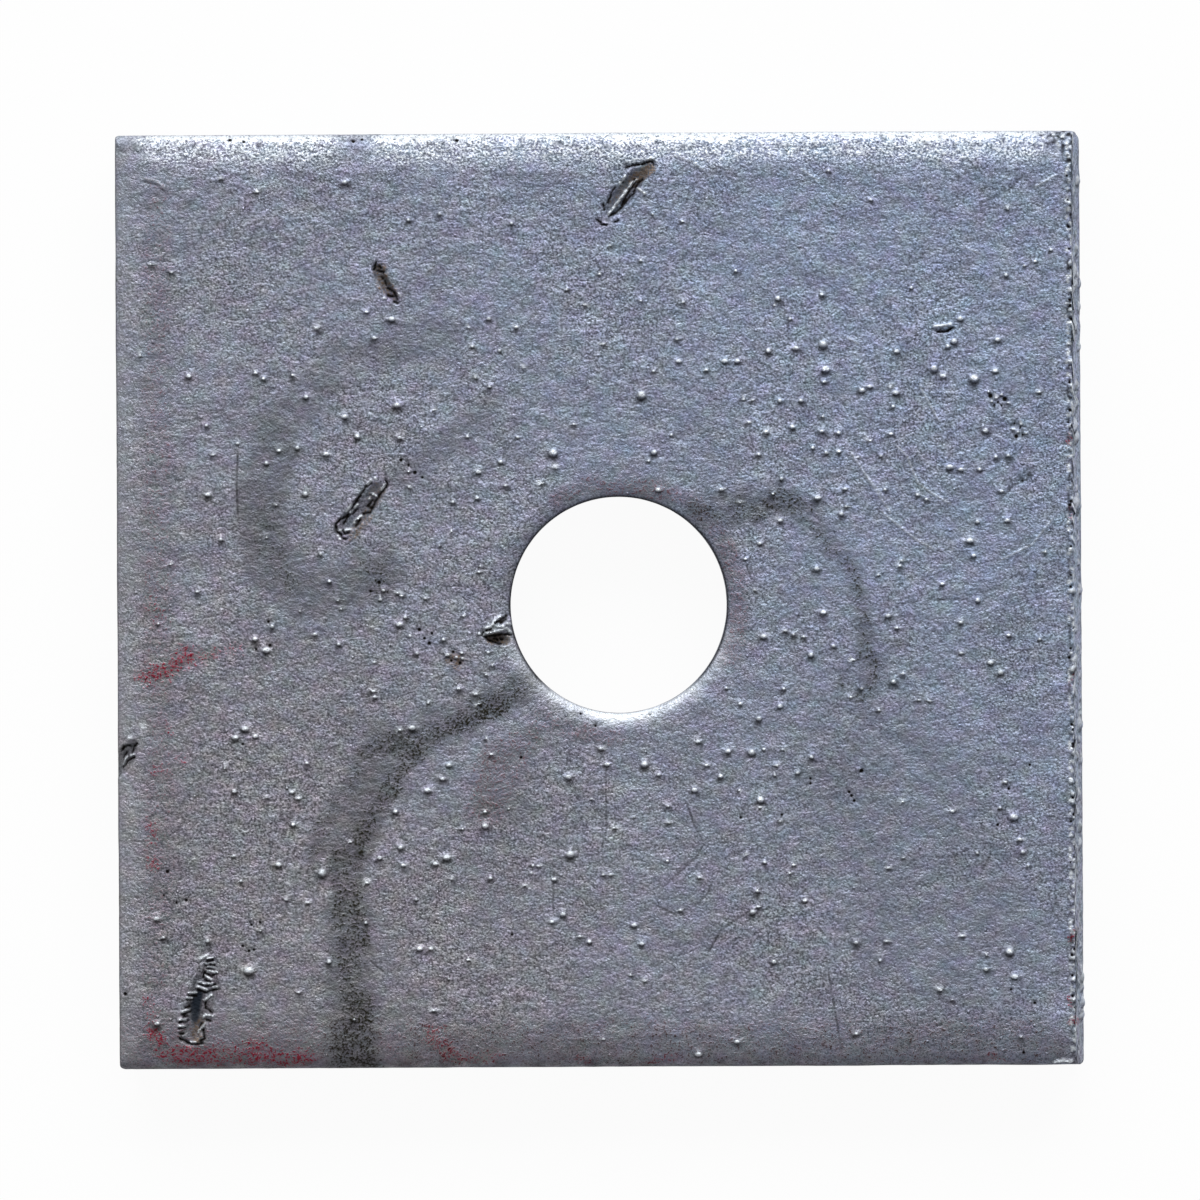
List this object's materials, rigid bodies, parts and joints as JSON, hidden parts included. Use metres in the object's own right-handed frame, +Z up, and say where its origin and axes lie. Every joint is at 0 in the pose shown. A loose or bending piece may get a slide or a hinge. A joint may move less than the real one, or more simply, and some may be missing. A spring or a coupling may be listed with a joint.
{
  "type": "bearing plate",
  "caption": "Flat, nearly square galvanised steel bearing plate with a punched bolt hole near its middle, worn and stained; spreads a bolt's load over timber.",
  "frame": {"origin": "centre of the underside, the face that bears on timber or concrete", "axes": "+Z up out of the struck face, along the bolt; +X along the rolled bar, from the first shear cut to the second; +Y across the bar, between its rolled edges"},
  "size_m": [0.0776, 0.075, 0.0063],
  "materials": {
    "zinc_coat": "dull, grainy hot-dip zinc on steel, with pimples, scars and stains"
  },
  "bodies": {
    "root": {"bearing_plate": "zinc_coat"}
  },
  "joints": []
}
